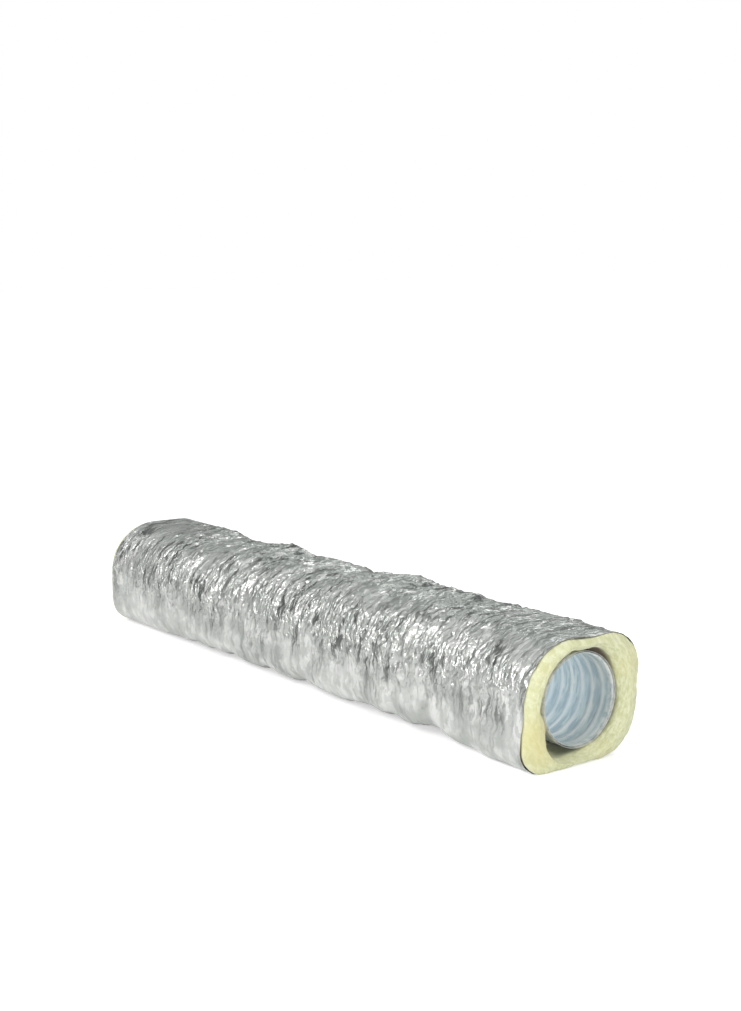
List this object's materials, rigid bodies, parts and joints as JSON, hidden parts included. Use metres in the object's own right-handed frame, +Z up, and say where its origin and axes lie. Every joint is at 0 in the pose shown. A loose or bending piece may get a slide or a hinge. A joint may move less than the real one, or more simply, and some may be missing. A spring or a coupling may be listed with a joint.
{
  "type": "insulated flexible air duct",
  "caption": "Cut length of insulated flexible air duct: wire-wound film core, glass wool blanket and crinkled metallised film jacket.",
  "frame": {"origin": "centre of the core's bore at the near end, where the air goes in", "axes": "+X along the duct out of its near end, +Z up, with the flat underside facing -Z"},
  "size_m": [0.92, 0.1748, 0.1512],
  "materials": {
    "core_film": "thin metallised film, bluish silver, satin",
    "spring_steel": "drawn spring steel wire",
    "glass_wool": "pale yellow glass wool, fibrous",
    "jacket_film": "crinkled metallised film, bright silver"
  },
  "bodies": {
    "jacket": {"jacket": "jacket_film"},
    "blanket": {"insulation_blanket": "glass_wool"},
    "core": {"inner_liner": "core_film", "wire_helix": "spring_steel", "core_outer_ply": "core_film"}
  },
  "joints": [
    {"name": "blanket_slide", "type": "slide", "parent": "jacket", "child": "blanket", "axis": [1, 0, 0], "range_m": [-0.06, 0.06]},
    {"name": "core_slide", "type": "slide", "parent": "blanket", "child": "core", "axis": [1, 0, 0], "range_m": [-0.1, 0.1]}
  ]
}
